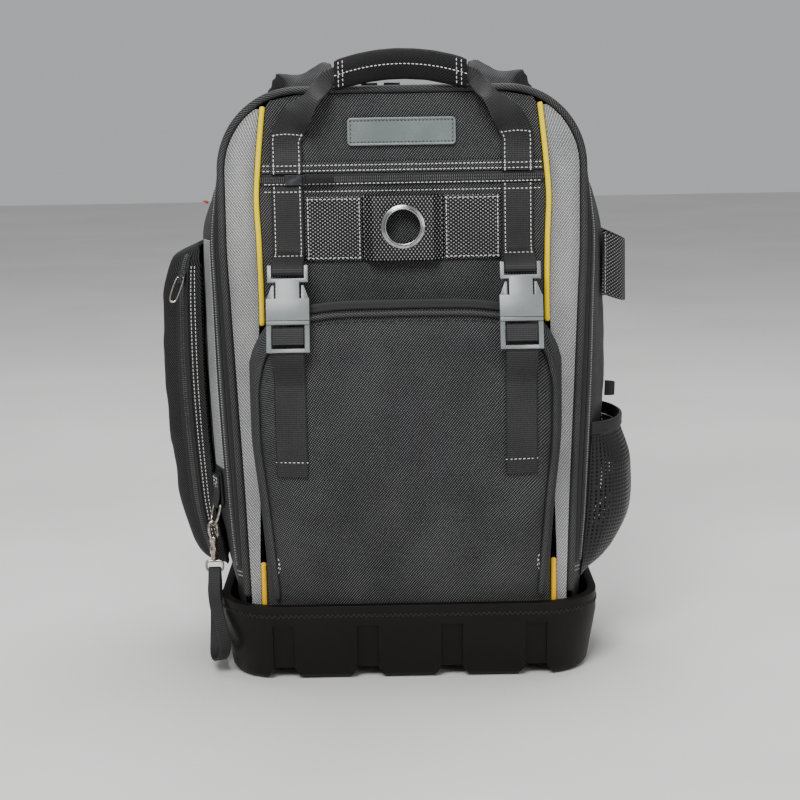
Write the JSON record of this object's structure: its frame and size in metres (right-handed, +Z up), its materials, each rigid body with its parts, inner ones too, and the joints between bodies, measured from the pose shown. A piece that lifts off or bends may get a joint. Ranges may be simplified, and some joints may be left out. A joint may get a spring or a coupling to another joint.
{
  "type": "tool backpack",
  "caption": "Black and silver-grey tool backpack with yellow piping, a moulded base tray, buckled front pocket, zipped side pocket, net pocket and carrying handle.",
  "frame": {"origin": "middle of the flat underside of the base's central foot", "axes": "+Z up, the front faces -Y, +X to the right of someone looking at the front"},
  "size_m": [0.4157, 0.2873, 0.5285],
  "materials": {
    "black_twill": "matte coarse twill",
    "black_trim": "matte tape and coil",
    "grey_cloth": "satin ballistic weave",
    "yellow_piping": "satin",
    "black_webbing": "ribbed webbing",
    "tray_rubber": "satin moulded",
    "badge_grey": "satin",
    "buckle_grey": "satin",
    "dark_metal": "polished gunmetal",
    "bright_metal": "worn polish",
    "net_black": "open net",
    "orange_tag": "matte"
  },
  "bodies": {
    "root": {"front_panel": "black_twill", "body_gusset": "black_twill", "corner_patch_left": "black_twill", "corner_patch_right": "black_twill", "back_panel": "black_twill", "panel_zip_flap": "black_twill", "handle_sleeve": "black_twill", "front_pocket": "black_twill", "side_pocket": "black_twill", "shoulder_strap_left": "black_twill", "shoulder_strap_right": "black_twill", "main_zip_binding": "black_trim", "main_zip": "black_trim", "main_piping": "black_trim", "panel_zip": "black_trim", "front_pocket_lip": "black_trim", "front_pocket_piping": "black_trim", "side_pocket_zip": "black_trim", "mesh_pocket_binding": "black_trim", "front_gore_left": "grey_cloth", "front_gore_right": "grey_cloth", "side_gore_left": "grey_cloth", "yellow_piping_left": "yellow_piping", "yellow_piping_right": "yellow_piping", "yellow_piping_low_left": "yellow_piping", "yellow_piping_low_right": "yellow_piping", "tool_band_left": "black_webbing", "tool_band_right": "black_webbing", "tool_loop": "black_webbing", "handle_webbing_left": "black_webbing", "handle_webbing_right": "black_webbing", "strap_upper_left": "black_webbing", "strap_upper_right": "black_webbing", "strap_lower_left": "black_webbing", "strap_lower_right": "black_webbing", "ring_tab": "black_webbing", "wrist_loop": "black_webbing", "side_loop": "black_webbing", "side_tab": "black_webbing", "shoulder_webbing_left": "black_webbing", "shoulder_webbing_right": "black_webbing", "base_tray": "tray_rubber", "badge_plate": "badge_grey", "buckle_socket_left": "buckle_grey", "buckle_socket_right": "buckle_grey", "buckle_plug_left": "buckle_grey", "buckle_plug_right": "buckle_grey", "main_zip_slider_left": "dark_metal", "main_zip_slider_right": "dark_metal", "panel_zip_slider": "dark_metal", "eyelet": "dark_metal", "side_pocket_slider": "dark_metal", "d_ring": "bright_metal", "snap_hook": "bright_metal", "hook_swivel": "bright_metal", "mesh_pocket": "net_black", "tag": "orange_tag"},
    "zip_pull": {"panel_zip_pull": "black_trim"},
    "bail": {"side_pocket_pull": "bright_metal"},
    "gate": {"hook_gate": "bright_metal"}
  },
  "joints": [
    {"name": "panel_zip_pull_swing", "type": "hinge", "parent": "root", "child": "zip_pull", "pos_m": [-0.0807, -0.0892, 0.4235], "axis": [0, 0, -1], "range_deg": [0, 165]},
    {"name": "side_pocket_bail_swing", "type": "hinge", "parent": "root", "child": "bail", "pos_m": [-0.1927, -0.02722, 0.33824], "axis": [-0.963, 0.2417, 0.1195], "range_deg": [0, 80]},
    {"name": "hook_gate_swing", "type": "hinge", "parent": "root", "child": "gate", "pos_m": [-0.16636, -0.05162, 0.11558], "axis": [0.3751, -0.927, 0], "range_deg": [0, 28], "stiffness_Nm_per_rad": 0.02, "springref_deg": -17.19}
  ]
}
